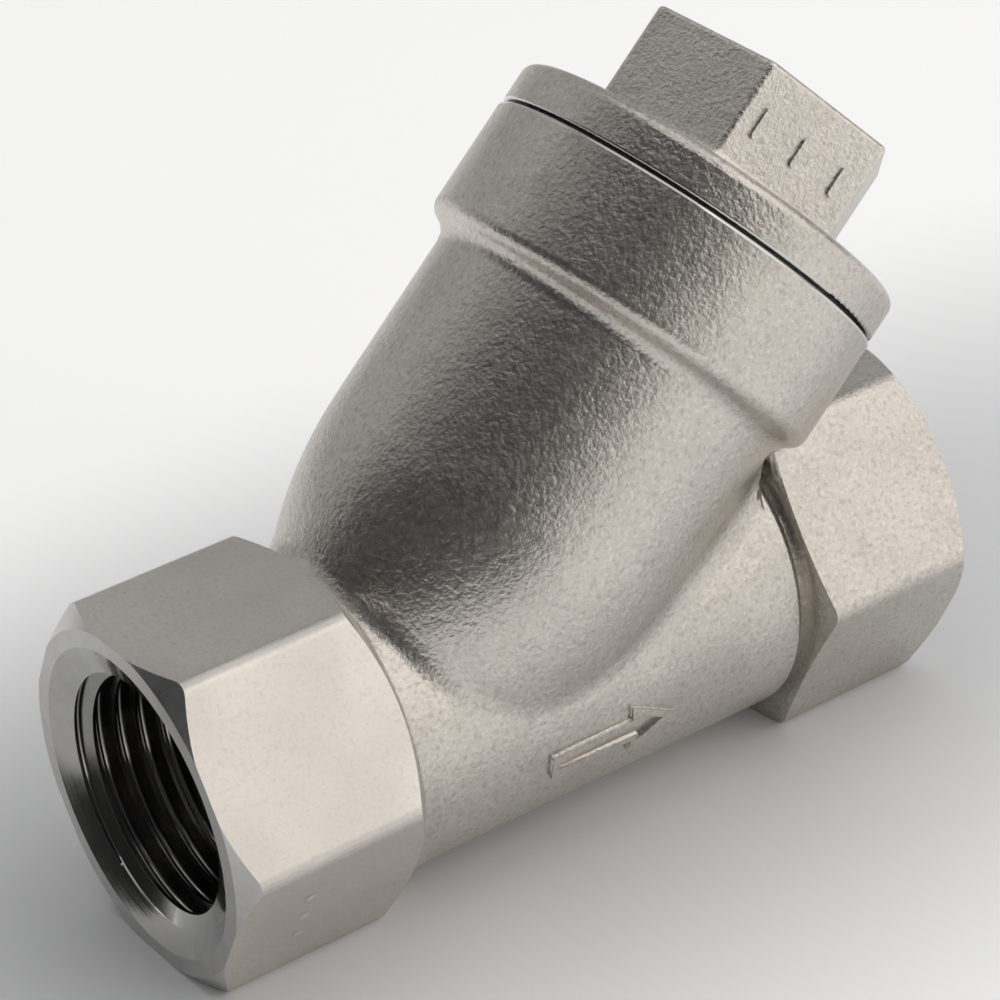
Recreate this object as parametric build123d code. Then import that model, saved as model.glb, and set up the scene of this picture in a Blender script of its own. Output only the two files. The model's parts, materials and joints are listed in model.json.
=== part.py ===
"""Y-pattern spring check valve with female threaded ends, 1/2 inch.

Units are millimetres and +Z is up.
+X is the direction of flow: the inlet is at -X and the outlet at +X.
The valve stands on the lower flats of its two hexagonal ends, at z = 0.
The origin is below the middle of the bounding box.

The branch leans from the run towards the outlet, in the XZ plane.
Pieces on the branch are drawn in a branch frame, in which z is the height
along the branch axis, counted from where that axis crosses the run axis.
"""

import math
import os

from build123d import *

# ---------------------------------------------------------------- run of the body
overall_length = 68.0
hex_across_flats = 27.0
hex_edge_round = 1.5
inlet_hex_length = 16.3
outlet_hex_length = 14.7
face_chamfer_width = 1.9
face_chamfer_length = 1.45
hex_back_cone_length = 1.5
flat_above_tube = 0.6
tube_root_length = 2.4
neck_groove_width = 1.2
neck_groove_depth = 0.7
neck_groove_reach = 6.0
neck_groove_bite = 0.5
neck_groove_tip = 0.25  # width left where the groove runs out under the collar

# ---------------------------------------------------------------- pipe threads, G 1/2
thread_bore_radius = 9.316
thread_length = 13.0
mouth_width = 2.984
mouth_depth = 1.35
port_radius = 7.5

# ---------------------------------------------------------------- branch
branch_angle = 41.8
branch_foot_x = -13.1
branch_radius = 14.9
egg_height = 17.6
egg_arc_radius = 34.0
collar_step = 1.8
collar_bottom = 33.2
collar_height = 9.7
collar_outer_round = 1.3
collar_root_round = 1.6
root_fillet = 3.5

# ---------------------------------------------------------------- inside of the branch
seat_height = 8.0
seat_lip_height = 1.0
seat_bore_radius = 6.4
seat_lip_width = 1.0
branch_wall = 3.5
cap_thread_wall = 1.9
thread_clearance = 0.05
gasket_rim = 1.8
gasket_seat_depth = 0.8

# ---------------------------------------------------------------- cap
flange_inset = 0.1
flange_thickness = 3.5
flange_round = 0.9
cap_hex_across_flats = 20.0
cap_hex_height = 8.6
cap_hex_turn = 12.0
cap_hex_round = 0.5
cap_hex_root = 1.0
spigot_length = 8.4
spring_pocket_depth = 3.8
guide_wall = 1.45
guide_bore_past_stem = 0.9

# ---------------------------------------------------------------- gasket
gasket_thickness = 1.0
gasket_clearance = 0.1

# ---------------------------------------------------------------- disc and its trim
lift = 5.4
lift_stop_gap = 0.1
stem_radius = 3.5
stem_clearance = 0.05
stem_in_guide = 12.0
hub_step = 1.1
hub_length = 9.5
plate_thickness = 3.0
skirt_overlap = 2.0
skirt_wall = 1.0
seal_thickness = 2.0
seal_proud = 0.7
seal_clearance = 0.05
stub_radius = 2.5
stub_clearance = 0.05
retainer_clearance = 1.0
retainer_thickness = 1.2
nut_across_flats = 8.0
nut_height = 3.2
stub_past_nut = 0.6

# ---------------------------------------------------------------- spring
spring_wire = 1.1
spring_turns = 8.0
spring_inner_clearance = 0.55
spring_outer_clearance = 1.35

# ---------------------------------------------------------------- raised marks
arrow_length = 11.6
arrow_shaft_width = 2.2
arrow_head_width = 4.6
arrow_head_length = 4.2
arrow_stroke = 0.6
arrow_height = 0.35
arrow_centre_x = 0.0
arrow_turn = 195.0
cap_bar_length = 2.6
cap_bar_width = 0.7
cap_bar_height = 0.3
cap_bar_spacing = 3.9
pip_radius = 0.6
pip_height = 0.2
pip_spacing = 2.7
pip_depth = 6.3

# ---------------------------------------------------------------- derived sizes
run_height = hex_across_flats / 2
inlet_face_x = -overall_length / 2
outlet_face_x = overall_length / 2
hex_corner_radius = hex_across_flats / math.sqrt(3)
face_land_radius = hex_corner_radius - face_chamfer_width
tube_radius = run_height - flat_above_tube
mouth_radius = thread_bore_radius + mouth_width
collar_radius = branch_radius + collar_step
collar_top = collar_bottom + collar_height
chamber_radius = branch_radius - branch_wall
chamber_top = collar_bottom + 0.4
bonnet_thread_radius = branch_radius - cap_thread_wall
gasket_seat_radius = collar_radius - gasket_rim
flange_radius = collar_radius - flange_inset
flange_bottom = collar_top - gasket_seat_depth + gasket_thickness
flange_top = flange_bottom + flange_thickness
cap_top = flange_top + cap_hex_height
spigot_bottom = flange_bottom - spigot_length
pocket_floor = spigot_bottom + spring_pocket_depth
seal_top = seat_height + seal_thickness
plate_top = seal_top + plate_thickness
hub_top = plate_top + hub_length
hub_radius = stem_radius + hub_step
guide_boss_end = hub_top + lift + lift_stop_gap
guide_boss_radius = stem_radius + stem_clearance + guide_wall
stem_top = guide_boss_end + stem_in_guide
guide_bore_top = stem_top + lift + guide_bore_past_stem
skirt_radius = seat_bore_radius + seat_lip_width + skirt_overlap
retainer_radius = seat_bore_radius - retainer_clearance
nut_top = seat_height - retainer_thickness
nut_bottom = nut_top - nut_height
spring_mean_radius = guide_boss_radius + spring_inner_clearance + spring_wire / 2
spring_pocket_radius = spring_mean_radius + spring_wire / 2 + spring_outer_clearance
far = 200.0


# ---------------------------------------------------------------- helpers
def corner_round(before, corner, after, radius):
    """Start, middle and end of the arc that rounds one corner of a polygon."""
    to_before = (Vector(*before) - Vector(*corner)).normalized()
    to_after = (Vector(*after) - Vector(*corner)).normalized()
    half = math.acos(max(-1.0, min(1.0, to_before.dot(to_after)))) / 2
    along = radius / math.tan(half)
    inward = (to_before + to_after).normalized()
    centre = Vector(*corner) + inward * (radius / math.sin(half))
    return (
        Vector(*corner) + to_before * along,
        centre - inward * radius,
        Vector(*corner) + to_after * along,
    )


def rounded_face(points):
    """Face from (x, y) or (x, y, radius) corners, in order."""
    flat = [(p[0], p[1]) for p in points]
    radii = [p[2] if len(p) > 2 else 0.0 for p in points]
    edges = []
    ends = []
    for i, radius in enumerate(radii):
        if radius > 0:
            start, middle, end = corner_round(flat[i - 1], flat[i], flat[(i + 1) % len(flat)], radius)
            edges.append(ThreePointArc(start, middle, end))
        else:
            start = end = Vector(*flat[i])
        ends.append((start, end))
    for i, (start, end) in enumerate(ends):
        onward = ends[(i + 1) % len(ends)][0]
        if (onward - end).length > 1e-6:
            edges.append(Line(end, onward))
    return make_face(edges)


def turned(points):
    """Solid of revolution about Z from (radius, height) corners."""
    return revolve(Plane.XZ * rounded_face(points), Axis.Z)


def turned_on_run(points):
    """Solid of revolution about X from (x, radius) corners."""
    return revolve(rounded_face(points), Axis.X)


def rod(radius, bottom, top):
    """Cylinder about Z between two heights."""
    return Pos(0, 0, bottom) * Cylinder(radius, top - bottom, align=(Align.CENTER, Align.CENTER, Align.MIN))


def run_rod(radius, start, end):
    """Cylinder about X between two stations."""
    return Rot(0, 90, 0) * rod(radius, start, end)


def hexagon_bar(across_flats, edge_round, bottom, top):
    """Hexagonal prism about Z with two corners on the X axis, long edges rounded."""
    outline = RegularPolygon(across_flats / 2, 6, major_radius=False, rotation=0)
    bar = Pos(0, 0, bottom) * extrude(outline, top - bottom)
    if edge_round > 0:
        bar = fillet(bar.edges().filter_by(Axis.Z), edge_round)
    return bar


def on_branch(shape):
    """Move a shape from the branch frame to the run frame."""
    return Pos(branch_foot_x, 0, 0) * Rot(0, 90 - branch_angle, 0) * shape


# ---------------------------------------------------------------- outside of the body
def hex_end(envelope):
    """Hexagonal end with flats up and down, trimmed by a turned envelope."""
    bar = hexagon_bar(hex_across_flats, hex_edge_round, -overall_length, overall_length)
    corners_sideways = Rot(0, 90, 0) * Rot(0, 0, 90) * bar
    return corners_sideways & envelope


def inlet_hexagon():
    """Inlet end: chamfered face, corners coned off at the back."""
    corner = hex_corner_radius + 0.5
    chamfer = face_chamfer_length * (corner - face_land_radius) / (hex_corner_radius - face_land_radius)
    back = inlet_face_x + inlet_hex_length
    cone = hex_back_cone_length * (corner - run_height) / (hex_corner_radius - run_height)
    envelope = turned_on_run(
        [
            (inlet_face_x, 0),
            (inlet_face_x, face_land_radius),
            (inlet_face_x + chamfer, corner),
            (back - cone, corner),
            (back, run_height),
            (back + 0.3, run_height - 0.35, 0.4),
            (back + tube_root_length, tube_radius, 4.0),
            (back + tube_root_length + 4.0, tube_radius),
            (back + tube_root_length + 4.0, 0),
        ]
    )
    return hex_end(envelope)


def outlet_hexagon():
    """Outlet end: chamfered face, corners trimmed a little at the back."""
    corner = hex_corner_radius + 0.5
    chamfer = face_chamfer_length * (corner - face_land_radius) / (hex_corner_radius - face_land_radius)
    back = outlet_face_x - outlet_hex_length
    envelope = turned_on_run(
        [
            (outlet_face_x, 0),
            (outlet_face_x, face_land_radius),
            (outlet_face_x - chamfer, corner),
            (back + 0.7, corner),
            (back, run_height - 0.2),
            (back, 0),
        ]
    )
    return hex_end(envelope)


def egg_radius_at(height):
    """Radius of the branch's rounded root at a height below egg_height."""
    return branch_radius - egg_arc_radius + math.sqrt(egg_arc_radius**2 - (egg_height - height) ** 2)


def egg_flank():
    """Profile of the rounded root, tangent to the plain branch at egg_height."""
    middle = egg_height / 2
    return ThreePointArc(
        (egg_radius_at(0), 0),
        (egg_radius_at(middle), middle),
        (branch_radius, egg_height),
    )


def branch_root():
    """Egg-shaped root of the branch, blended into the tube."""
    above = 3 * collar_top
    outline = make_face(
        [
            egg_flank(),
            Line((branch_radius, egg_height), (branch_radius, above)),
            Line((branch_radius, above), (0, above)),
            Line((0, above), (0, 0)),
            Line((0, 0), (egg_radius_at(0), 0)),
        ]
    )
    branch = on_branch(revolve(Plane.XZ * outline, Axis.Z))
    joined = run_rod(tube_radius, -far / 2, far / 2) + branch
    joined = fillet(valley_edges(joined), root_fillet)
    start = inlet_face_x + face_chamfer_length + 2.0
    end = outlet_face_x - outlet_hex_length + 1.0
    below_collar = on_branch(rod(far, -far, collar_bottom + 0.8))
    return joined & run_rod(far, start, end) & below_collar


def valley_edges(joined):
    """The edges in which the branch meets the tube."""
    found = []
    for edge in joined.edges():
        middle = edge @ 0.5
        on_tube = abs(math.hypot(middle.Y, middle.Z) - tube_radius) < 0.01
        if on_tube and edge.geom_type not in (GeomType.LINE, GeomType.CIRCLE):
            found.append(edge)
    return found


def neck_groove():
    """Shallow rounded groove around the tube in front of the outlet hexagon."""
    back = outlet_face_x - outlet_hex_length
    neck = tube_radius - neck_groove_depth
    ring = turned_on_run(
        [
            (back - neck_groove_tip, tube_radius + neck_groove_reach),
            (back - neck_groove_width - 0.6, tube_radius + 0.02),
            (back - neck_groove_width, tube_radius, 0.5),
            (back - neck_groove_width * 0.5, neck, 0.3),
            (back, neck),
            (back, tube_radius + neck_groove_reach),
        ]
    )
    kept_wall = on_branch(rod(branch_radius - neck_groove_bite, 0, far / 2))
    kept_collar = on_branch(rod(far, collar_bottom - collar_root_round, far))
    return ring - kept_wall - kept_collar


def collar():
    """Collar for the cap, in the branch frame."""
    return turned(
        [
            (0, collar_bottom - 6),
            (branch_radius, collar_bottom - 6),
            (branch_radius, collar_bottom - 0.7, collar_root_round),
            (collar_radius, collar_bottom + 0.3, collar_outer_round),
            (collar_radius, collar_top, 0.3),
            (0, collar_top),
        ]
    )


def flow_arrow():
    """Raised outline of an arrow on the tube that points with the flow."""
    half = arrow_length / 2
    outline = Polyline(
        (-half, arrow_shaft_width / 2),
        (half - arrow_head_length, arrow_shaft_width / 2),
        (half - arrow_head_length, arrow_head_width / 2),
        (half, 0),
        (half - arrow_head_length, -arrow_head_width / 2),
        (half - arrow_head_length, -arrow_shaft_width / 2),
        (-half, -arrow_shaft_width / 2),
        close=True,
    )
    whole = make_face(outline)
    inside = offset(whole, -arrow_stroke, kind=Kind.INTERSECTION)
    block = extrude(whole - inside, tube_radius + 5)
    shell = run_rod(tube_radius + arrow_height, -far / 4, far / 4)
    shell -= run_rod(tube_radius - 0.5, -far / 4, far / 4)
    arrow = Rot(arrow_turn - 90, 0, 0) * block & shell
    return Pos(arrow_centre_x, 0, 0) * arrow


def end_pips():
    """Three low domes on the lower front flat of the inlet hexagon."""
    dome_radius = (pip_radius**2 + pip_height**2) / (2 * pip_height)
    centre_x = inlet_face_x + pip_depth
    centre_height = run_height + pip_height - dome_radius
    marks = []
    for step in (-1, 0, 1):
        dome = Pos(centre_x, step * pip_spacing, centre_height) * Sphere(dome_radius)
        marks.append(Rot(120, 0, 0) * dome)
    return marks


def body_outside():
    """The whole casting before any machining."""
    casting = branch_root() + on_branch(collar())
    casting += inlet_hexagon()
    casting -= neck_groove()
    casting += outlet_hexagon()
    for pip in end_pips():
        casting += pip
    return casting + flow_arrow()


# ---------------------------------------------------------------- machining of the body
def pipe_end_cut(sign):
    """Countersunk mouth and thread bore of one end."""
    face = sign * overall_length / 2
    inward = -sign
    return turned_on_run(
        [
            (face - inward * 1.0, 0),
            (face - inward * 1.0, mouth_radius + (mouth_radius - thread_bore_radius) / mouth_depth),
            (face + inward * mouth_depth, thread_bore_radius),
            (face + inward * (mouth_depth + thread_length), thread_bore_radius),
            (face + inward * (mouth_depth + thread_length + 1.0), port_radius),
            (face + inward * (mouth_depth + thread_length + 1.0), 0),
        ]
    )


def branch_cut():
    """Seat bore, chamber around the raised seat lip, cap thread and gasket recess."""
    floor = seat_height - seat_lip_height
    lip_radius = seat_bore_radius + seat_lip_width
    return turned(
        [
            (0, 0),
            (seat_bore_radius, 0),
            (seat_bore_radius, seat_height),
            (lip_radius, seat_height),
            (lip_radius + 0.3, floor),
            (chamber_radius, floor, 1.5),
            (chamber_radius, chamber_top - 1.2),
            (bonnet_thread_radius + thread_clearance, chamber_top),
            (bonnet_thread_radius + thread_clearance, collar_top - gasket_seat_depth),
            (gasket_seat_radius, collar_top - gasket_seat_depth),
            (gasket_seat_radius, collar_top + 5),
            (0, collar_top + 5),
        ]
    )


def make_body():
    """Valve body in the run frame."""
    body = body_outside()
    body -= pipe_end_cut(-1)
    body -= pipe_end_cut(1)
    body -= run_rod(port_radius, inlet_face_x + 5, inlet_port_end())
    body -= run_rod(port_radius, outlet_port_start(), outlet_face_x - 5)
    body -= on_branch(branch_cut())
    return body


def inlet_port_end():
    """Station where the inlet passage stops, short of the seat's partition."""
    return branch_foot_x + 0.3


def outlet_port_start():
    """Station where the outlet passage starts, past the seat."""
    return branch_foot_x + 14.0


# ---------------------------------------------------------------- cap and gasket
def cap_head():
    """Cap hexagon with rounded edges, in the branch frame."""
    bar = hexagon_bar(cap_hex_across_flats, cap_hex_round, flange_top - 0.5, cap_top)
    bar = fillet(bar.faces().sort_by(Axis.Z)[-1].edges(), cap_hex_round * 0.8)
    return Rot(0, 0, 90 + cap_hex_turn) * bar


def cap_bars():
    """Three short raised bars on one flat of the cap hexagon."""
    height = (flange_top + cap_top) / 2
    bar = extrude(Plane.YZ * SlotOverall(cap_bar_length, cap_bar_width, rotation=90), cap_bar_reach())
    marks = []
    for step in (-1, 0, 1):
        marks.append(Rot(0, 0, cap_hex_turn + 240) * Pos(0, step * cap_bar_spacing, height) * bar)
    return marks


def cap_bar_reach():
    """Distance of the outer face of a cap bar from the cap axis."""
    return cap_hex_across_flats / 2 + cap_bar_height


def spigot():
    """Threaded spigot under the flange, hollowed for the spring."""
    return turned(
        [
            (spring_pocket_radius, spigot_bottom),
            (bonnet_thread_radius - 1.0, spigot_bottom),
            (bonnet_thread_radius, spigot_bottom + 1.0),
            (bonnet_thread_radius, flange_bottom),
            (0, flange_bottom),
            (0, pocket_floor),
            (spring_pocket_radius, pocket_floor),
        ]
    )


def make_cap():
    """Cap in the branch frame: hexagon, flange, threaded spigot and guide boss."""
    flange = turned(
        [
            (0, flange_bottom),
            (flange_radius, flange_bottom, 0.25),
            (flange_radius, flange_top, flange_round),
            (0, flange_top),
        ]
    )
    head = flange + cap_head()
    if cap_hex_root > 0:
        root = head.edges().filter_by_position(Axis.Z, flange_top - 0.01, flange_top + 0.01)
        root = [edge for edge in root if (edge @ 0.5 - Vector(0, 0, flange_top)).length < flange_radius * 0.8]
        head = fillet(root, cap_hex_root)
    for bar in cap_bars():
        head += bar & rod(cap_hex_across_flats, flange_top, cap_top)
    cap = head + spigot() + rod(guide_boss_radius, guide_boss_end, pocket_floor + 0.5)
    return cap - rod(stem_radius + stem_clearance, guide_boss_end - 1, guide_bore_top)


def make_gasket():
    """Gasket ring in the branch frame."""
    outer = rod(gasket_seat_radius - gasket_clearance, flange_bottom - gasket_thickness, flange_bottom)
    inner = rod(bonnet_thread_radius + gasket_clearance, flange_bottom - 5, flange_bottom + 5)
    return outer - inner


# ---------------------------------------------------------------- disc and its trim
def make_disc():
    """Poppet in the branch frame: stub, skirted plate, hub and guide stem."""
    skirt_inside = skirt_radius - skirt_wall
    skirt_bottom = seat_height + seal_proud
    return turned(
        [
            (0, nut_bottom - stub_past_nut),
            (stub_radius - 0.4, nut_bottom - stub_past_nut),
            (stub_radius, nut_bottom - stub_past_nut + 0.4),
            (stub_radius, seal_top),
            (skirt_inside, seal_top),
            (skirt_inside, skirt_bottom),
            (skirt_radius, skirt_bottom),
            (skirt_radius, plate_top, 0.5),
            (hub_radius, plate_top),
            (hub_radius, hub_top, 0.3),
            (stem_radius, hub_top),
            (stem_radius, stem_top, 0.5),
            (0, stem_top),
        ]
    )


def make_seal():
    """Seal ring in the branch frame, resting on the seat lip."""
    outer = rod(skirt_radius - skirt_wall - seal_clearance, seat_height, seal_top)
    return outer - rod(stub_radius + stub_clearance, 0, far)


def make_retainer():
    """Washer under the seal, in the branch frame."""
    outer = rod(retainer_radius, nut_top, seat_height)
    washer = outer - rod(stub_radius + stub_clearance, 0, far)
    rims = [e for e in washer.edges().filter_by(GeomType.CIRCLE) if e.radius > stub_radius + 1]
    return chamfer(rims, 0.15)


def make_nut():
    """Hexagon nut on the stub, in the branch frame."""
    blank = hexagon_bar(nut_across_flats, 0, nut_bottom, nut_top)
    corner = nut_across_flats / math.sqrt(3)
    crown = turned(
        [
            (0, nut_bottom),
            (corner * 0.9, nut_bottom),
            (corner * 1.02, nut_bottom + corner * 0.07),
            (corner * 1.02, nut_top),
            (0, nut_top),
        ]
    )
    return (blank & crown) - rod(stub_radius + stub_clearance, 0, far)


# ---------------------------------------------------------------- spring
def make_spring():
    """Coil spring in the branch frame, ends ground flat on the disc and the cap."""
    length = pocket_floor - plate_top
    inset = spring_wire * 0.25
    pitch = (length - 2 * inset) / spring_turns
    path = Pos(0, 0, plate_top + inset) * Helix(pitch, length - 2 * inset, spring_mean_radius)
    section = Plane(origin=path @ 0, z_dir=path % 0) * Circle(spring_wire / 2)
    coil = sweep(section, path=path, is_frenet=True)
    slab = rod(spring_mean_radius + spring_wire, plate_top, pocket_floor)
    return coil & slab


# ---------------------------------------------------------------- assembly
def make_parts():
    """Every piece in the run frame, closed."""
    parts = {"valve_body": make_body()}
    for name, maker in (
        ("bonnet_cap", make_cap),
        ("bonnet_gasket", make_gasket),
        ("disc", make_disc),
        ("disc_seal", make_seal),
        ("seal_retainer", make_retainer),
        ("retainer_nut", make_nut),
        ("return_spring", make_spring),
    ):
        parts[name] = on_branch(maker())
    return parts


def to_origin(parts):
    """The shift that puts the origin below the middle of the bounding box."""
    boxes = [part.bounding_box() for part in parts.values()]
    middle_x = (min(b.min.X for b in boxes) + max(b.max.X for b in boxes)) / 2
    return Pos(-middle_x, 0, run_height)


def main():
    parts = make_parts()
    shift = to_origin(parts)
    os.makedirs("parts", exist_ok=True)
    for name, part in parts.items():
        placed = shift * part
        placed.label = name
        export_step(placed, "parts/" + name + ".step")
        print(name, "solids", len(placed.solids()), "volume", round(placed.volume, 1))
    print("shift", shift.position)


main()
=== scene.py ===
"""Looks of a Y-pattern spring check valve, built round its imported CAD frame.

Lengths in metres; the frame has +X along the flow and +Z up. The cap and the small pieces
keep their CAD meshes. The body is a copy of its CAD mesh with real pipe threads cut into
it, and the spring is coiled again with closed ends.
"""

import json
import math

import bmesh
import bpy
from mathutils import Matrix, Vector


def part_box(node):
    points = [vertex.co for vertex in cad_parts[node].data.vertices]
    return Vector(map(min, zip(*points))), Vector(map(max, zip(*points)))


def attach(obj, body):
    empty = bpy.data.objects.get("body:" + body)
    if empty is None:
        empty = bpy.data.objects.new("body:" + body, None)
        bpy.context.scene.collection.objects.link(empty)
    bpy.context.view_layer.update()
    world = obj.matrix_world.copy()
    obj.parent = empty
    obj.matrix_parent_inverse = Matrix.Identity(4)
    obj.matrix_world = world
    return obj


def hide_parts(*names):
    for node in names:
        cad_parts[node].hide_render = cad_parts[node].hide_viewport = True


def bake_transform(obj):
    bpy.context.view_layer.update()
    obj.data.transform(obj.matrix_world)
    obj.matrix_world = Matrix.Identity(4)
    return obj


MM = 0.001

# ------------------------------------------------------------------ camera
VIEW_AZIMUTH = -33.04
VIEW_ELEVATION = 29.66
VIEW_ROLL = -5.33
VIEW_DISTANCE = 281.5 * MM
VIEW_TARGET = Vector((-1.19, 0.0, 13.5)) * MM
VIEW_SHIFT_RIGHT = -0.45 * MM
VIEW_SHIFT_UP = 10.6 * MM
LENS = 131.4
SENSOR_WIDTH = 36.0
CLIP_RANGE = (0.01, 20.0)

# ------------------------------------------------------------------ light and floor
LIGHT_TARGET = Vector((0.0, 0.0, 30.0)) * MM
KEY_TINT = (1.0, 0.97, 0.93)
FILL_TINT = (1.0, 0.995, 0.995)
# name, azimuth, elevation, distance, size, radiance, tint
SOFTBOXES = (
    ("key", -55, 28, 1.2, (1.65, 1.15), 1.17, KEY_TINT),
    ("top", -35, 76, 1.1, (1.2, 1.2), 0.8, FILL_TINT),
    ("back", 78, 28, 1.3, (3.6, 1.3), 0.39, FILL_TINT),
    ("side", 8, 26, 1.3, (0.75, 1.15), 0.36, FILL_TINT),
    ("crown", 128, 60, 1.2, (0.95, 0.9), 0.3, FILL_TINT),
)
WORLD_COLOUR = (0.92, 0.96, 1.0, 1.0)
WORLD_STRENGTH = 0.05
FLOOR_HALF_WIDTH = 3.0
FLOOR_DARKER = (0.84, 0.85, 0.865, 1.0)
FLOOR_PALER = (0.86, 0.87, 0.885, 1.0)
# the floor's emission is dimmed close under the valve: a painted contact shadow
GLOW_COLOUR = (1.0, 0.985, 0.965, 1.0)
PAINTED_SHADOW_CENTRE = (-4 * MM, 6 * MM, 0.0)
PAINTED_SHADOW_STRETCH = (0.42, 1.0, 0.0)  # makes the painted shadow longer along the run
PAINTED_SHADOW_INNER, PAINTED_SHADOW_OUTER = 14 * MM, 68 * MM
PAINTED_SHADOW_EMISSION, OPEN_FLOOR_EMISSION = 0.03, 0.45
CARD_ENDS = ((-54 * MM, 25 * MM), (-66 * MM, -2 * MM))
CARD_HEIGHT = 14 * MM

# ------------------------------------------------------------------ pipe thread, G 1/2
THREAD_PITCH = 25.4 / 14 * MM
THREAD_MAJOR_RADIUS = 20.955 / 2 * MM
THREAD_CREST = 0.26 * MM  # flat left between two turns of the groove
THREAD_STEPS = 96  # rings of the cutter in one turn
THREAD_RUN_OUT = 0.8  # turns over which the groove fades out
THREAD_BITE = 1.35 * MM  # from the major radius in to the cutter's open side
THREAD_ROOT_SHARE = 0.11  # half the root's width, as a share of the pitch
THREAD_ROOT_ROUND = 0.05 * MM
THREAD_FLANK_START = (0.98, 0.16)  # where the flank begins: share of half width, of depth
THREAD_LEAST_DEPTH = 0.05
THREAD_LEAD_IN = 0.6 * MM
THREAD_OVERRUN = 1.9 * MM

# ------------------------------------------------------------------ body normals
SHARP_ANGLE = 22
FLAT_COSINE = 0.9999995  # two faces count as one flat above this
FLAT_AREA = 60 * MM * MM  # a flat this large keeps its own normals
# countersink, outer chamfer, cylinder: share of the normal along the run, and across it
TURNED_SLOPES = ((-0.911, -0.412), (-0.795, 0.607), (0.0, 1.0))
TURNED_COSINE = 0.9985
TURNED_LEAST_RADIUS = 9 * MM

# ------------------------------------------------------------------ spring
SPRING_WIRE = 1.1 * MM
SPRING_ACTIVE_TURNS = 7.0
SPRING_END_TURNS = 1.0
SPRING_STEPS = 40
SPRING_SIDES = 12
SPRING_END_PITCH = SPRING_WIRE * 1.02  # the end turns all but touch
SPRING_GROUND_OFF = 0.02 * MM

# ------------------------------------------------------------------ where finishes meet
MOUTH_RADIUS = 12.3 * MM  # outer edge of the countersink
MOUTH_SLOPE = 2.984 / 1.35  # how far it closes in for each step along the run
MOUTH_DEPTH = 1.6 * MM
CONE_MARGIN = 0.25 * MM
FACING_LEAST = 0.3  # normal's share along the run on faced and countersunk surfaces
FACED_RADIUS = 15.7 * MM
THREAD_DEPTH = 15.2 * MM
THREAD_RADIUS = 10.6 * MM
BRANCH_BORE_RADIUS = 13.2 * MM
BRANCH_BORE_LOW, BRANCH_BORE_HIGH = -6 * MM, 40 * MM
TUBE_INSIDE_RADIUS = 12.4 * MM
TUBE_TOP = 8 * MM  # above this height on the branch no part of the tube is near the bore
COLLAR_RADIUS, COLLAR_TOP = 16.7 * MM, 32.5 * MM
INLET_HEXAGON_LENGTH = 16.6 * MM
HEXAGON_LEAST_RADIUS = 13.0 * MM
CAP_TURNED_TOP = 34.45 * MM
CAP_HEAD_START = 37.72 * MM
NOISE_BAND = (0.3, 0.7)  # most values of a noise lie in here

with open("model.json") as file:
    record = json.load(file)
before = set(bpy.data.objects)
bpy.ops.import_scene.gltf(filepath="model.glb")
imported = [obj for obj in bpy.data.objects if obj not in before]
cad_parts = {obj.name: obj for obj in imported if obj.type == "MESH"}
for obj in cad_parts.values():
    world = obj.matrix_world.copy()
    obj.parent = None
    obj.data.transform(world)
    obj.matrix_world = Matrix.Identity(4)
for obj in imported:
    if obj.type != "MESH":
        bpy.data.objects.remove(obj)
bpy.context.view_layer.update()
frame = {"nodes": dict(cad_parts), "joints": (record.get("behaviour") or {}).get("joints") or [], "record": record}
nodes = frame["nodes"]
record = frame["record"]
mounts = {m["name"]: m for m in record["mounts"]}
joint = frame["joints"][0]

RUN_CENTRE = Vector((0.0, 0.0, mounts["inlet_thread"]["pos_m"][2]))
BRANCH_DIR = Vector(joint["axis"]).normalized()
INLET_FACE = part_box("valve_body")[0].x
OUTLET_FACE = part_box("valve_body")[1].x


def middle(name):
    """Middle of a CAD node's box."""
    low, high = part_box(name)
    return (low + high) / 2


BRANCH_POINT = middle("disc_seal")


def branch_height(point):
    """Height along the branch axis, counted from the seal's middle."""
    return (Vector(point) - BRANCH_POINT).dot(BRANCH_DIR)


def radius_from_run(point):
    """Distance of a point from the run axis."""
    return math.hypot(point.y, point.z - RUN_CENTRE.z)


# ------------------------------------------------------------------ meshes
def new_mesh_object(name, mesh):
    """A linked object for a mesh."""
    piece = bpy.data.objects.new(name, mesh)
    bpy.context.scene.collection.objects.link(piece)
    return piece


def finished_object(name, bm):
    """A linked object made from a bmesh, which is freed."""
    mesh = bpy.data.meshes.new(name)
    bm.to_mesh(mesh)
    bm.free()
    return new_mesh_object(name, mesh)


def welded_copy(node, name):
    """A copy of a CAD node's mesh with its seams closed."""
    mesh = nodes[node].data.copy()
    bm = bmesh.new()
    bm.from_mesh(mesh)
    bmesh.ops.remove_doubles(bm, verts=bm.verts, dist=1e-7)
    bm.to_mesh(mesh)
    bm.free()
    mesh.materials.clear()
    return new_mesh_object(name, mesh)


def skin_rings(bm, rings):
    """Four-sided faces between each ring of vertices and the next."""
    for a, b in zip(rings, rings[1:]):
        count = len(a)
        for k in range(count):
            n = (k + 1) % count
            bm.faces.new((a[k], a[n], b[n], b[k]))


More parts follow.
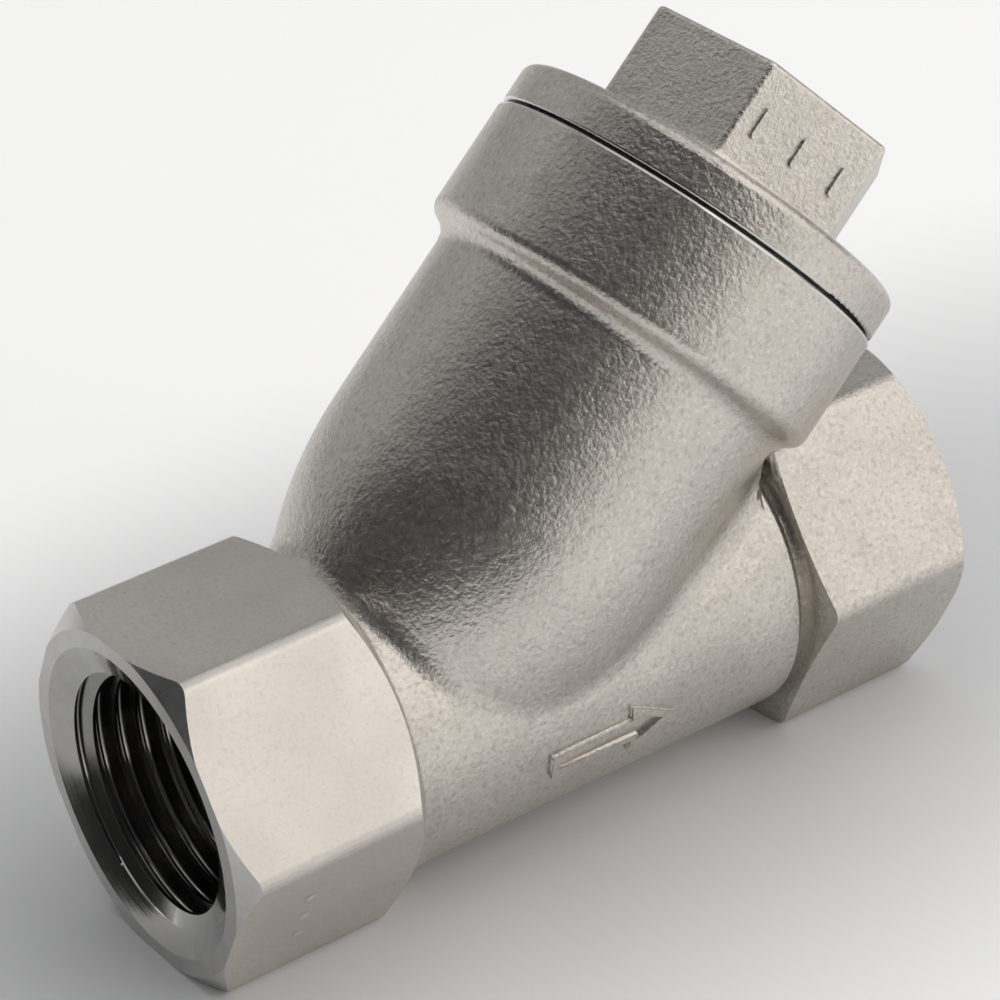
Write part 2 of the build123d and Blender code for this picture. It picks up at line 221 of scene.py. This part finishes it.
def thread_cutter(name, start_x, direction, length):
    """Closed helical solid that cuts a right-handed groove, fading out at its inner end."""
    inside = THREAD_MAJOR_RADIUS - THREAD_BITE
    half = (THREAD_PITCH - THREAD_CREST) / 2
    root = THREAD_PITCH * THREAD_ROOT_SHARE
    out, up = THREAD_FLANK_START
    turns = length / THREAD_PITCH
    count = int(turns * THREAD_STEPS)
    bm = bmesh.new()
    rings = []
    for i in range(count + 1):
        t = i / count
        angle = direction * t * turns * 2 * math.pi
        x = start_x + direction * t * length
        left = (1 - t) * turns
        depth = min(1.0, left / THREAD_RUN_OUT)
        share = THREAD_LEAST_DEPTH + (1 - THREAD_LEAST_DEPTH) * depth
        top = inside + (THREAD_MAJOR_RADIUS - inside) * share
        flank = inside + (top - inside) * up
        shoulder = top - THREAD_ROOT_ROUND * depth
        profile = [
            (-half, inside),
            (-half * out, flank),
            (-root, shoulder),
            (-root * 0.5, top),
            (root * 0.5, top),
            (root, shoulder),
            (half * out, flank),
            (half, inside),
        ]
        ring = []
        for along, radius in profile:
            y = radius * math.cos(angle)
            z = RUN_CENTRE.z + radius * math.sin(angle)
            ring.append(bm.verts.new((x + along, y, z)))
        rings.append(ring)
    skin_rings(bm, rings)
    bm.faces.new(rings[0])
    bm.faces.new(list(reversed(rings[-1])))
    bmesh.ops.recalc_face_normals(bm, faces=bm.faces)
    return finished_object(name, bm)


def apply_boolean(piece, cutter):
    """Cut a closed mesh out of a piece and drop the cutter."""
    modifier = piece.modifiers.new("cut", "BOOLEAN")
    modifier.operation = "DIFFERENCE"
    modifier.object = cutter
    modifier.solver = "MANIFOLD"
    bpy.context.view_layer.update()
    graph = bpy.context.evaluated_depsgraph_get()
    cut = bpy.data.meshes.new_from_object(piece.evaluated_get(graph))
    piece.modifiers.clear()
    piece.data = cut
    bpy.data.objects.remove(cutter)


def flat_regions(bm):
    """For each face, the area of the flat region it is part of."""
    region = list(range(len(bm.faces)))

    def root(i):
        while region[i] != i:
            region[i] = region[region[i]]
            i = region[i]
        return i

    for edge in bm.edges:
        if len(edge.link_faces) == 2:
            a, b = edge.link_faces
            if a.normal.dot(b.normal) > FLAT_COSINE:
                region[root(a.index)] = root(b.index)
    area = {}
    for face in bm.faces:
        key = root(face.index)
        area[key] = area.get(key, 0.0) + face.calc_area()
    return [area[root(i)] for i in range(len(region))]


def turned_normal(face, point):
    """The exact normal at a point of a cone or cylinder about the run axis, or None."""
    centre = face.calc_center_median()
    ahead = 1 if centre.x < 0 else -1
    outward = Vector((0, point.y, point.z - RUN_CENTRE.z)).normalized()
    facing = Vector((0, centre.y, centre.z - RUN_CENTRE.z)).normalized()
    for along, across in TURNED_SLOPES:
        lean = Vector((along * ahead, 0, 0))
        if face.normal.dot(lean + facing * across) > TURNED_COSINE:
            return lean + outward * across
    return None


def settle_normals(mesh):
    """Corner normals in which a large flat outweighs the small faces of its rounds."""
    bm = bmesh.new()
    bm.from_mesh(mesh)
    bm.faces.ensure_lookup_table()
    area = flat_regions(bm)
    place = {}
    for face in bm.faces:
        for loop in face.loops:
            place[loop] = len(place)
    normals = [None] * len(place)
    for vertex in bm.verts:
        left = list(vertex.link_loops)
        while left:
            fan = [left.pop(0)]
            for loop in fan:
                for edge in (loop.edge, loop.link_loop_prev.edge):
                    if not edge.smooth:
                        continue
                    for other in edge.link_loops:
                        corner = other if other.vert == vertex else other.link_loop_next
                        if corner in left:
                            left.remove(corner)
                            fan.append(corner)
            total = Vector()
            for loop in fan:
                total += loop.face.normal * (area[loop.face.index] * loop.calc_angle())
            for loop in fan:
                normals[place[loop]] = total.normalized()
    for face in bm.faces:
        radius = radius_from_run(face.calc_center_median())
        if radius > TURNED_LEAST_RADIUS and area[face.index] < FLAT_AREA:
            for loop in face.loops:
                exact = turned_normal(face, loop.vert.co)
                if exact:
                    normals[place[loop]] = exact
    bm.free()
    mesh.normals_split_custom_set(normals)


def thread_the_ends(piece):
    """Both pipe threads, each from outside its mouth to the end of its bore."""
    for name, direction, face in (
        ("inlet_thread", 1, INLET_FACE),
        ("outlet_thread", -1, OUTLET_FACE),
    ):
        length = mounts[name]["dims"]["length_mm"] * MM + THREAD_OVERRUN
        cutter = thread_cutter("cutter", face - direction * THREAD_LEAD_IN, direction, length)
        apply_boolean(piece, cutter)


# ------------------------------------------------------------------ node helpers
class Graph:
    """Short way to add and join shader nodes of one material."""

    def __init__(self, name):
        self.material = bpy.data.materials.new(name)
        self.material.use_nodes = True
        self.tree = self.material.node_tree
        self.tree.nodes.clear()
        self.output = self.add("ShaderNodeOutputMaterial")
        self.shader = self.add("ShaderNodeBsdfPrincipled")
        self.join(self.shader.outputs[0], self.output.inputs["Surface"])
        self.place = self.add("ShaderNodeTexCoord").outputs["Object"]

    def add(self, kind, **settings):
        node = self.tree.nodes.new(kind)
        for key, value in settings.items():
            setattr(node, key, value)
        return node

    def join(self, source, target):
        self.tree.links.new(source, target)

    def feed(self, socket, value):
        """Join a node's output to a socket, or set the socket to a number."""
        if hasattr(value, "is_output"):
            self.join(value, socket)
        else:
            socket.default_value = value

    def math(self, operation, *values):
        node = self.add("ShaderNodeMath", operation=operation)
        for socket, value in zip(node.inputs, values):
            self.feed(socket, value)
        return node.outputs[0]

    def vector_math(self, operation, *values):
        node = self.add("ShaderNodeVectorMath", operation=operation)
        for socket, value in zip(node.inputs, values):
            self.feed(socket, value)
        return node.outputs["Value" if operation == "LENGTH" else "Vector"]

    def noise(self, scale, detail=2.0, roughness=0.5, vector=None, stretch=None):
        """Noise over the object's own metres, or over another vector."""
        vector = vector or self.place
        if stretch:
            mapping = self.add("ShaderNodeMapping")
            mapping.inputs["Scale"].default_value = stretch
            self.join(vector, mapping.inputs["Vector"])
            vector = mapping.outputs[0]
        node = self.add("ShaderNodeTexNoise")
        self.join(vector, node.inputs["Vector"])
        node.inputs["Scale"].default_value = scale
        node.inputs["Detail"].default_value = detail
        node.inputs["Roughness"].default_value = roughness
        return node.outputs["Fac"]

    def span(self, value, low, high, from_low=0.0, from_high=1.0, smooth=False):
        """A value taken from one range to the range low to high."""
        node = self.add("ShaderNodeMapRange")
        node.interpolation_type = "SMOOTHSTEP" if smooth else "LINEAR"
        self.feed(node.inputs["Value"], value)
        node.inputs["From Min"].default_value = from_low
        node.inputs["From Max"].default_value = from_high
        node.inputs["To Min"].default_value = low
        node.inputs["To Max"].default_value = high
        return node.outputs["Result"]

    def blend(self, share, first, second):
        """Colour between two, by a share from 0 to 1."""
        node = self.add("ShaderNodeMix", data_type="RGBA")
        self.feed(node.inputs["Factor"], share)
        self.feed(node.inputs[6], first)
        self.feed(node.inputs[7], second)
        return node.outputs[2]

    def bumps(self, *layers):
        """Bumps one on another, each from its height and how deep it goes."""
        normal = None
        for height, distance in layers:
            node = self.add("ShaderNodeBump")
            node.inputs["Strength"].default_value = 1.0
            node.inputs["Distance"].default_value = distance
            self.join(height, node.inputs["Height"])
            if normal is not None:
                self.join(normal, node.inputs["Normal"])
            normal = node.outputs["Normal"]
        return normal

    def set(self, **sockets):
        """Feed the shader's sockets and give back the finished material."""
        names = {
            "colour": "Base Color",
            "roughness": "Roughness",
            "metallic": "Metallic",
            "normal": "Normal",
        }
        for key, value in sockets.items():
            self.feed(self.shader.inputs[names[key]], value)
        return self.material


def grey(level, warmth=0.066):
    """Warm metal grey."""
    return (level * (1 + warmth), level, level * (1 - warmth * 1.3), 1.0)


# ------------------------------------------------------------------ materials
def cast_steel(name, pebble=1.0, level=0.56, finer=1.0):
    """Bead-blasted investment casting: fine ripples and pebbles on slow waves, with painted shade in the pits of
    the fine pebbles.
    """
    g = Graph(name)
    fine = g.noise(3000.0 * finer, 2.0, 0.55)
    grain = g.noise(1500.0 * finer, 2.0, 0.5)
    micro = g.noise(7000.0, 2.0, 0.6)
    waves = g.noise(330.0, 2.0, 0.5)
    patches = g.noise(120.0, 3.0, 0.6)
    specks = g.noise(2400.0, 1.0, 0.5)
    normal = g.bumps(
        (waves, 0.055 * MM * pebble),
        (grain, 0.040 * MM * pebble),
        (fine, 0.036 * MM * pebble),
        (micro, 0.010 * MM),
    )
    patched = g.span(patches, 0.0, 1.0, 0.35, 0.68, smooth=True)
    tone = g.blend(patched, grey(level * 0.94), grey(level * 1.05))
    # painted shade: the tone follows the fine bump, lighter on the raised pebbles and darker in their pits
    tone = g.blend(g.span(fine, 0.0, 0.5, 0.5, 0.7), tone, grey(level * 1.35, 0.04))
    tone = g.blend(g.span(specks, 0.0, 0.5, 0.52, 0.72), tone, grey(level * 0.62, 0.05))
    rough = g.span(grain, 0.30, 0.38, *NOISE_BAND)
    return g.set(colour=tone, roughness=rough, metallic=1.0, normal=normal)


def ground_steel(name):
    """Belt-ground flats: fine lines along the run over a trace of the casting."""
    g = Graph(name)
    lines = g.noise(1.0, 3.0, 0.7, stretch=(260.0, 5200.0, 5200.0))
    soft = g.noise(520.0, 2.0, 0.5)
    speck = g.noise(3100.0, 2.0, 0.6)
    patches = g.noise(110.0, 2.0, 0.5)
    normal = g.bumps((soft, 0.018 * MM), (lines, 0.005 * MM), (speck, 0.006 * MM))
    patched = g.span(patches, 0.0, 1.0, *NOISE_BAND, smooth=True)
    tone = g.blend(patched, grey(0.57), grey(0.655))
    tone = g.blend(g.span(lines, 0.0, 0.4, 0.4, 0.7), tone, grey(0.7, 0.02))
    tone = g.blend(g.span(speck, 0.0, 0.5, 0.5, 0.7), tone, grey(0.5))
    rough = g.span(lines, 0.30, 0.42, *NOISE_BAND)
    return g.set(colour=tone, roughness=rough, metallic=1.0, normal=normal)


def turned_steel(name, axis_point, axis_dir, level=0.62, rough=0.2):
    """Lathe-turned surface: fine rings about an axis, under a trace of specks."""
    g = Graph(name)
    mapping = g.add("ShaderNodeMapping", vector_type="TEXTURE")
    mapping.inputs["Location"].default_value = axis_point
    turn = Vector(axis_dir).to_track_quat("Z", "Y").to_euler()
    mapping.inputs["Rotation"].default_value = turn
    g.join(g.place, mapping.inputs["Vector"])
    parts = g.add("ShaderNodeSeparateXYZ")
    g.join(mapping.outputs[0], parts.inputs[0])
    x, y, z = parts.outputs
    square = g.math("ADD", g.math("MULTIPLY", x, x), g.math("MULTIPLY", y, y))
    radius = g.math("SQRT", square)
    together = g.add("ShaderNodeCombineXYZ")
    g.join(radius, together.inputs["X"])
    g.join(z, together.inputs["Y"])
    rings = g.noise(6000.0, 2.0, 0.7, vector=together.outputs[0])
    broad = g.noise(900.0, 2.0, 0.5, vector=together.outputs[0])
    speck = g.noise(700.0, 3.0, 0.6)
    normal = g.bumps((rings, 0.0025 * MM), (broad, 0.006 * MM))
    specked = g.span(speck, 0.0, 1.0, *NOISE_BAND)
    tone = g.blend(specked, grey(level * 0.93, 0.02), grey(level * 1.05, 0.015))
    mixed = g.math("ADD", g.math("MULTIPLY", rings, 0.6), g.math("MULTIPLY", speck, 0.4))
    shine = g.span(mixed, rough * 0.8, rough * 1.3, *NOISE_BAND)
    return g.set(colour=tone, roughness=shine, metallic=1.0, normal=normal)


def wire_steel(name):
    """Drawn spring wire."""
    g = Graph(name)
    speck = g.noise(2500.0, 3.0, 0.6)
    normal = g.bumps((speck, 0.004 * MM))
    specked = g.span(speck, 0.0, 1.0, *NOISE_BAND)
    tone = g.blend(specked, grey(0.5, 0.01), grey(0.62, 0.01))
    rough = g.span(speck, 0.2, 0.33)
    return g.set(colour=tone, roughness=rough, metallic=1.0, normal=normal)


def ptfe(name):
    """White PTFE: slightly clouded, with a soft uneven sheen."""
    g = Graph(name)
    soft = g.noise(900.0, 3.0, 0.6)
    clouds = g.noise(160.0, 2.0, 0.5)
    normal = g.bumps((soft, 0.01 * MM))
    clouded = g.span(clouds, 0.0, 1.0, *NOISE_BAND)
    tone = g.blend(clouded, (0.84, 0.84, 0.82, 1.0), (0.9, 0.9, 0.88, 1.0))
    rough = g.span(soft, 0.38, 0.52)
    return g.set(colour=tone, roughness=rough, metallic=0.0, normal=normal)


MATERIALS = {
    "cast": cast_steel("cast_steel"),
    "cap_cast": cast_steel("cap_cast_steel", pebble=1.2),
    "head_cast": cast_steel("head_cast_steel", pebble=1.15, level=0.63, finer=1.3),
    "ground": ground_steel("ground_steel"),
    "faced": turned_steel("faced_steel", RUN_CENTRE, (1, 0, 0), level=0.56, rough=0.3),
    "polished": turned_steel("polished_steel", RUN_CENTRE, (1, 0, 0), level=0.6, rough=0.1),
    # the thread's darker grey than the other turned steel is painted shade inside the bore
    "thread": turned_steel("thread_steel_painted_shade", RUN_CENTRE, (1, 0, 0), level=0.42, rough=0.16),
    "branch_turned": turned_steel("branch_turned_steel", BRANCH_POINT, BRANCH_DIR),
    "wire": wire_steel("spring_wire"),
    "ptfe": ptfe("white_ptfe"),
}


# ------------------------------------------------------------------ body
BODY_SLOTS = ("cast", "ground", "faced", "polished", "thread", "branch_turned")


def body_finish(centre, normal):
    """Which finish a face of the body has, from where it lies and how it faces."""
    from_inlet = centre.x - INLET_FACE
    depth = min(from_inlet, OUTLET_FACE - centre.x)
    radius = radius_from_run(centre)
    if depth < MOUTH_DEPTH and abs(normal.x) > FACING_LEAST and radius < FACED_RADIUS:
        if radius > MOUTH_RADIUS:
            return "faced"
        off_cone = abs(radius + depth * MOUTH_SLOPE - MOUTH_RADIUS)
        return "polished" if off_cone < CONE_MARGIN else "thread"
    if depth < THREAD_DEPTH and radius < THREAD_RADIUS:
        return "thread"
    up_branch = branch_height(centre)
    to_axis = (centre - BRANCH_POINT).cross(BRANCH_DIR).length
    if to_axis < BRANCH_BORE_RADIUS and BRANCH_BORE_LOW < up_branch < BRANCH_BORE_HIGH:
        if radius < TUBE_INSIDE_RADIUS or up_branch > TUBE_TOP:
            return "branch_turned"
    if to_axis < COLLAR_RADIUS and up_branch > COLLAR_TOP:
        return "branch_turned"
    if from_inlet < INLET_HEXAGON_LENGTH and radius > HEXAGON_LEAST_RADIUS:
        return "ground"
    return "cast"


def make_body():
    """The body with its threads and a finish on each face, in place of its CAD node."""
    body = welded_copy("valve_body", "valve_body_detailed")
    thread_the_ends(body)
    mesh = body.data
    mesh.materials.clear()
    for key in BODY_SLOTS:
        mesh.materials.append(MATERIALS[key])
    index = {key: i for i, key in enumerate(BODY_SLOTS)}
    for face in mesh.polygons:
        face.material_index = index[body_finish(face.center, face.normal)]
        face.use_smooth = True
    mesh.set_sharp_from_angle(angle=math.radians(SHARP_ANGLE))
    settle_normals(mesh)
    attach(body, "valve")
    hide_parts("valve_body")


# ------------------------------------------------------------------ spring
def make_spring():
    """Coil with closed, ground ends, between the disc's plate and the cap's pocket."""
    low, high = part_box("return_spring")
    centre = (low + high) / 2
    across = Vector((-BRANCH_DIR.z, 0, BRANCH_DIR.x))
    outer = (high.y - low.y) / 2
    reach = (high - low).x / 2
    half_length = (reach - outer * abs(across.x)) / BRANCH_DIR.x
    limit = half_length - SPRING_GROUND_OFF
    mean = outer - SPRING_WIRE / 2
    turns = SPRING_ACTIVE_TURNS + 2 * SPRING_END_TURNS
    ends = SPRING_END_PITCH * SPRING_END_TURNS
    span = 2 * half_length - SPRING_WIRE
    rise = (span - 2 * ends) / SPRING_ACTIVE_TURNS
    count = int(turns * SPRING_STEPS)
    sideways = BRANCH_DIR.cross(across)
    bm = bmesh.new()
    rings = []
    points = []
    for i in range(count + 1):
        turn = i / SPRING_STEPS
        if turn < SPRING_END_TURNS:
            height = turn * SPRING_END_PITCH
        elif turn > turns - SPRING_END_TURNS:
            height = span - (turns - turn) * SPRING_END_PITCH
        else:
            height = ends + (turn - SPRING_END_TURNS) * rise
        angle = turn * 2 * math.pi
        outward = across * math.cos(angle) + sideways * math.sin(angle)
        points.append((centre + BRANCH_DIR * (height - span / 2) + outward * mean, outward))
    for i, (point, outward) in enumerate(points):
        before = points[max(0, i - 1)][0]
        after = points[min(count, i + 1)][0]
        along = (after - before).normalized()
        side = along.cross(outward).normalized()
        ring = []
        for k in range(SPRING_SIDES):
            a = 2 * math.pi * k / SPRING_SIDES
            offset = outward * math.cos(a) + side * math.sin(a)
            vertex = point + offset * SPRING_WIRE / 2
            height = (vertex - centre).dot(BRANCH_DIR)
            if abs(height) > limit:
                vertex -= BRANCH_DIR * (height - math.copysign(limit, height))
            ring.append(bm.verts.new(vertex))
        rings.append(ring)
    skin_rings(bm, rings)
    bm.faces.new(list(reversed(rings[0])))
    bm.faces.new(rings[-1])
    bmesh.ops.recalc_face_normals(bm, faces=bm.faces)
    spring = finished_object("return_spring_coiled", bm)
    spring.data.materials.append(MATERIALS["wire"])
    for face in spring.data.polygons:
        face.use_smooth = True
    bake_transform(spring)
    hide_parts("return_spring")


# ------------------------------------------------------------------ carried-over nodes
def finish_node(name, *keys, choose=None):
    """Give a CAD node procedural materials, one or several by face."""
    mesh = nodes[name].data
    mesh.materials.clear()
    for key in keys:
        mesh.materials.append(MATERIALS[key])
    if choose:
        for face in mesh.polygons:
            face.material_index = choose(face.center)


def cap_finish(centre):
    """0 for the cast flange, 1 for turned surfaces below it, 2 for the cast head above it."""
    height = branch_height(centre)
    if height < CAP_TURNED_TOP:
        return 1
    return 2 if height > CAP_HEAD_START else 0


# ------------------------------------------------------------------ stage
def make_stage():
    """Pale light table whose emission is dimmed close under the valve, a painted contact shadow."""
    g = Graph("pale_floor")
    mottle = g.noise(9.0, 2.0, 0.5)
    tone = g.blend(g.span(mottle, 0.0, 1.0, *NOISE_BAND), FLOOR_DARKER, FLOOR_PALER)
    moved = g.vector_math("SUBTRACT", g.place, PAINTED_SHADOW_CENTRE)
    narrowed = g.vector_math("MULTIPLY", moved, PAINTED_SHADOW_STRETCH)
    away = g.vector_math("LENGTH", narrowed)
    # painted contact shadow: least emission close under the valve, full emission further out
    emission_with_painted_shadow = g.span(away, PAINTED_SHADOW_EMISSION, OPEN_FLOOR_EMISSION, PAINTED_SHADOW_INNER, PAINTED_SHADOW_OUTER, smooth=True)
    floor_material = g.set(colour=tone, roughness=0.6)
    g.shader.inputs["Emission Color"].default_value = GLOW_COLOUR
    g.join(emission_with_painted_shadow, g.shader.inputs["Emission Strength"])
    bm = bmesh.new()
    bmesh.ops.create_grid(bm, x_segments=2, y_segments=2, size=FLOOR_HALF_WIDTH)
    floor = finished_object("floor", bm)
    floor.data.materials.append(floor_material)


def make_card():
    """Dark card beside the inlet, seen only in the reflections of bright metal."""
    g = Graph("dark_card")
    felt = g.noise(900.0, 3.0, 0.6)
    tone = g.blend(felt, (0.012, 0.012, 0.012, 1.0), (0.03, 0.03, 0.03, 1.0))
    material = g.set(colour=tone, roughness=0.9)
    bm = bmesh.new()
    low = [bm.verts.new((x, y, 0.0)) for x, y in CARD_ENDS]
    high = [bm.verts.new((x, y, CARD_HEIGHT)) for x, y in reversed(CARD_ENDS)]
    bm.faces.new(low + high)
    card = finished_object("dark_card", bm)
    card.data.materials.append(material)
    card.visible_camera = False
    card.visible_diffuse = False
    card.visible_shadow = False


def softbox(name, azimuth, elevation, distance, size, radiance, tint):
    """Area light of one radiance, aimed at the valve; azimuth counts from +X to +Y."""
    turn, rise = math.radians(azimuth), math.radians(elevation)
    level = math.cos(rise)
    towards = Vector((level * math.cos(turn), level * math.sin(turn), math.sin(rise)))
    data = bpy.data.lights.new(name, "AREA")
    data.shape = "RECTANGLE"
    data.size, data.size_y = size
    data.energy = radiance * math.pi * size[0] * size[1]
    data.color = tint
    light = bpy.data.objects.new(name, data)
    bpy.context.scene.collection.objects.link(light)
    light.location = LIGHT_TARGET + towards * distance
    light.rotation_mode = "QUATERNION"
    light.rotation_quaternion = towards.to_track_quat("Z", "Y")


def make_lights():
    """Soft lights all round and a dim, slightly cool world."""
    for settings in SOFTBOXES:
        softbox(*settings)
    world = bpy.data.worlds.new("studio")
    world.use_nodes = True
    background = world.node_tree.nodes["Background"]
    background.inputs["Color"].default_value = WORLD_COLOUR
    background.inputs["Strength"].default_value = WORLD_STRENGTH
    bpy.context.scene.world = world


def make_camera():
    """Camera fitted to the photo: azimuth from -Y towards +X, then a roll and a shift."""
    azimuth, elevation = math.radians(VIEW_AZIMUTH), math.radians(VIEW_ELEVATION)
    roll = math.radians(VIEW_ROLL)
    level = math.cos(elevation)
    back = Vector((math.sin(azimuth) * level, -math.cos(azimuth) * level, math.sin(elevation)))
    right = (-back).cross(Vector((0, 0, 1))).normalized()
    up = right.cross(-back)
    right, up = (
        right * math.cos(roll) + up * math.sin(roll),
        up * math.cos(roll) - right * math.sin(roll),
    )
    place = VIEW_TARGET + right * VIEW_SHIFT_RIGHT + up * VIEW_SHIFT_UP + back * VIEW_DISTANCE
    data = bpy.data.cameras.new("camera")
    data.lens = LENS
    data.sensor_width = SENSOR_WIDTH
    data.clip_start, data.clip_end = CLIP_RANGE
    camera = bpy.data.objects.new("camera", data)
    bpy.context.scene.collection.objects.link(camera)
    turned = Matrix((right, up, back)).transposed().to_4x4()
    camera.matrix_world = Matrix.Translation(place) @ turned
    bpy.context.scene.camera = camera


make_body()
make_spring()
finish_node("bonnet_cap", "cap_cast", "branch_turned", "head_cast", choose=cap_finish)
finish_node("bonnet_gasket", "ptfe")
finish_node("disc", "branch_turned")
finish_node("disc_seal", "ptfe")
finish_node("seal_retainer", "branch_turned")
finish_node("retainer_nut", "branch_turned")
make_stage()
make_card()
make_lights()
make_camera()
bpy.context.scene.view_settings.view_transform = "Standard"
